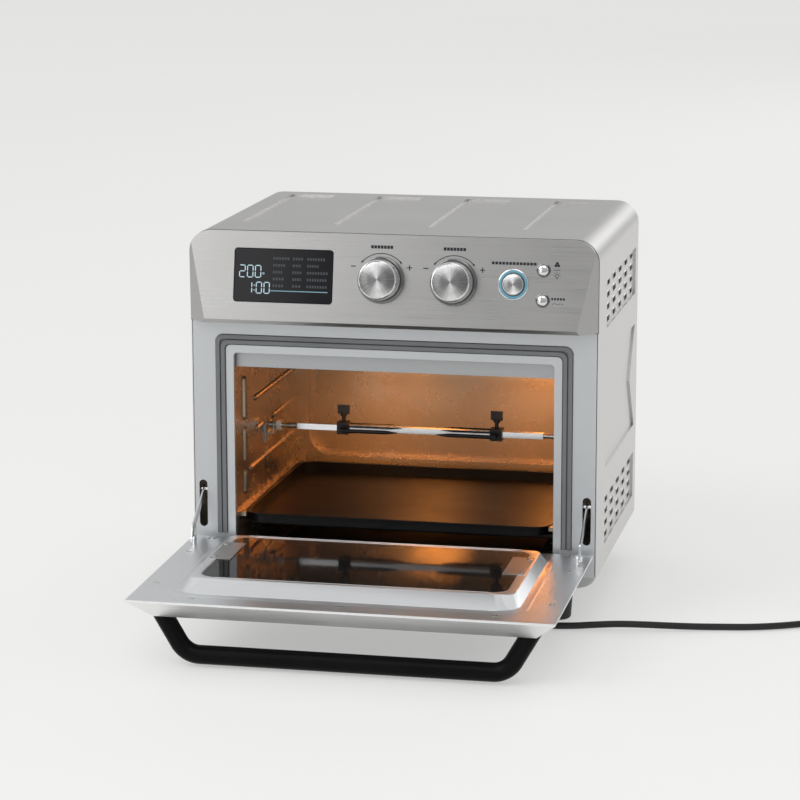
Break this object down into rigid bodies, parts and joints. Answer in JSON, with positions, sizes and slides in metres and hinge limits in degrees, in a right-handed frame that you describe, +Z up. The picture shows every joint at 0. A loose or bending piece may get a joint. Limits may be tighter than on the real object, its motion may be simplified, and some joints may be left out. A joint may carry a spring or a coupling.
{
  "type": "air fryer oven",
  "caption": "Countertop air-fryer oven, drop-down glass door open, with spit and forks, baking and crumb trays, top fan, display, knobs and buttons, and a cord with plug.",
  "frame": {"origin": "middle of the object's box without its cord, on the surface it stands on, with the door open", "axes": "+X to the right seen from the front, +Y to the back (the door opens towards -Y), +Z up"},
  "size_m": [0.7495, 0.5778, 0.37],
  "materials": {
    "casing": "satin",
    "bezel": "brushed",
    "sheet": "plain",
    "front_frame": "satin",
    "cavity": "satin",
    "shield": "satin",
    "fan": "satin",
    "heater": "dark oxide",
    "motor": "satin",
    "lamp": "frosted",
    "rotisserie": "plain",
    "spit": "bright",
    "fork": "satin",
    "tray": "dark enamel",
    "crumb_tray": "satin",
    "gasket": "matte",
    "feet": "matte",
    "display": "gloss",
    "board": "matte",
    "knob": "spun",
    "ring": "lit",
    "door_panel": "satin",
    "door_skin": "brushed",
    "pane": "clear",
    "clips": "bright",
    "handle": "satin black",
    "cord": "matte"
  },
  "bodies": {
    "oven": {"outer_shell": "casing", "back_cover": "sheet", "bottom_pan": "sheet", "foot_front_left": "feet", "foot_front_right": "feet", "foot_rear_left": "feet", "foot_rear_right": "feet", "front_frame": "front_frame", "gasket": "gasket", "cavity_left": "cavity", "cavity_right": "cavity", "cavity_top": "cavity", "cavity_back": "cavity", "cavity_floor": "cavity", "heat_shield": "shield", "upper_heater": "heater", "lower_heaters": "heater", "fan_guard": "shield", "fan_motor": "motor", "lamp_cover": "lamp", "lamp_bulb": "lamp", "rotisserie_motor": "motor", "spit_cradle": "rotisserie", "bezel": "bezel", "display_window": "display", "control_board": "board", "power_ring": "ring", "hinge_brackets": "sheet", "hinge_pins": "rotisserie", "gland": "cord", "cord": "cord", "cord_coil": "cord", "plug": "cord"},
    "door": {"door_inner_panel": "door_panel", "door_skin": "door_skin", "inner_glass": "pane", "outer_glass": "pane", "glass_clips": "clips", "door_handle": "handle", "door_screws": "clips"},
    "link_arm_left": {"link_arm_left": "rotisserie"},
    "link_arm_right": {"link_arm_right": "rotisserie"},
    "fan": {"convection_fan": "fan", "fan_shaft": "rotisserie", "cooling_fan": "fan"},
    "rotisserie": {"drive_socket": "rotisserie", "spit": "spit"},
    "fork_left": {"fork_left": "fork", "fork_screw_left": "fork"},
    "fork_right": {"fork_right": "fork", "fork_screw_right": "fork"},
    "baking_tray": {"baking_tray": "tray"},
    "crumb_tray": {"crumb_tray": "crumb_tray"},
    "function_knob": {"function_knob": "knob", "function_shaft": "rotisserie"},
    "temp_knob": {"temp_knob": "knob", "temp_shaft": "rotisserie"},
    "power_button": {"power_button": "knob"},
    "lamp_button": {"lamp_button": "knob"},
    "shake_button": {"shake_button": "knob"}
  },
  "joints": [
    {"name": "door_hinge", "type": "hinge", "parent": "oven", "child": "door", "pos_m": [0, -0.03408, 0.0599], "axis": [1, 0, 0], "range_deg": [-91, 0]},
    {"name": "left_arm_pivot", "type": "hinge", "parent": "door", "child": "link_arm_left", "pos_m": [-0.188, -0.06234, 0.07481], "axis": [1, 0, 0], "range_deg": [0, 73]},
    {"name": "right_arm_pivot", "type": "hinge", "parent": "door", "child": "link_arm_right", "pos_m": [0.188, -0.06234, 0.07481], "axis": [1, 0, 0], "range_deg": [0, 73]},
    {"name": "fan_spin", "type": "hinge", "parent": "oven", "child": "fan", "pos_m": [0, 0.10332, 0.25], "axis": [0, 0, 1], "continuous": true},
    {"name": "rotisserie_turn", "type": "hinge", "parent": "oven", "child": "rotisserie", "pos_m": [0, 0.10832, 0.153], "axis": [1, 0, 0], "continuous": true},
    {"name": "left_fork_slide", "type": "slide", "parent": "rotisserie", "child": "fork_left", "axis": [-1, 0, 0], "range_m": [0, 0.04]},
    {"name": "right_fork_slide", "type": "slide", "parent": "rotisserie", "child": "fork_right", "axis": [1, 0, 0], "range_m": [0, 0.04]},
    {"name": "baking_tray_slide", "type": "slide", "parent": "oven", "child": "baking_tray", "axis": [0, -1, 0], "range_m": [0, 0.2]},
    {"name": "crumb_tray_slide", "type": "slide", "parent": "oven", "child": "crumb_tray", "axis": [0, -1, 0], "range_m": [0, 0.18]},
    {"name": "function_turn", "type": "hinge", "parent": "oven", "child": "function_knob", "pos_m": [-0.008, -0.03338, 0.32795], "axis": [0, -0.9836, 0.1803], "continuous": true},
    {"name": "temp_turn", "type": "hinge", "parent": "oven", "child": "temp_knob", "pos_m": [0.0617, -0.03338, 0.32795], "axis": [0, -0.9836, 0.1803], "continuous": true},
    {"name": "power_press", "type": "slide", "parent": "oven", "child": "power_button", "axis": [0, 0.9836, -0.1803], "range_m": [0, 0.0012], "stiffness_N_per_m": 800},
    {"name": "lamp_press", "type": "slide", "parent": "oven", "child": "lamp_button", "axis": [0, 0.9836, -0.1803], "range_m": [0, 0.0012], "stiffness_N_per_m": 800},
    {"name": "shake_press", "type": "slide", "parent": "oven", "child": "shake_button", "axis": [0, 0.9836, -0.1803], "range_m": [0, 0.0012], "stiffness_N_per_m": 800}
  ],
  "couplings": [
    {"joint": "left_arm_pivot", "follows": "door_hinge", "ratio": -0.792},
    {"joint": "right_arm_pivot", "follows": "door_hinge", "ratio": -0.792}
  ]
}
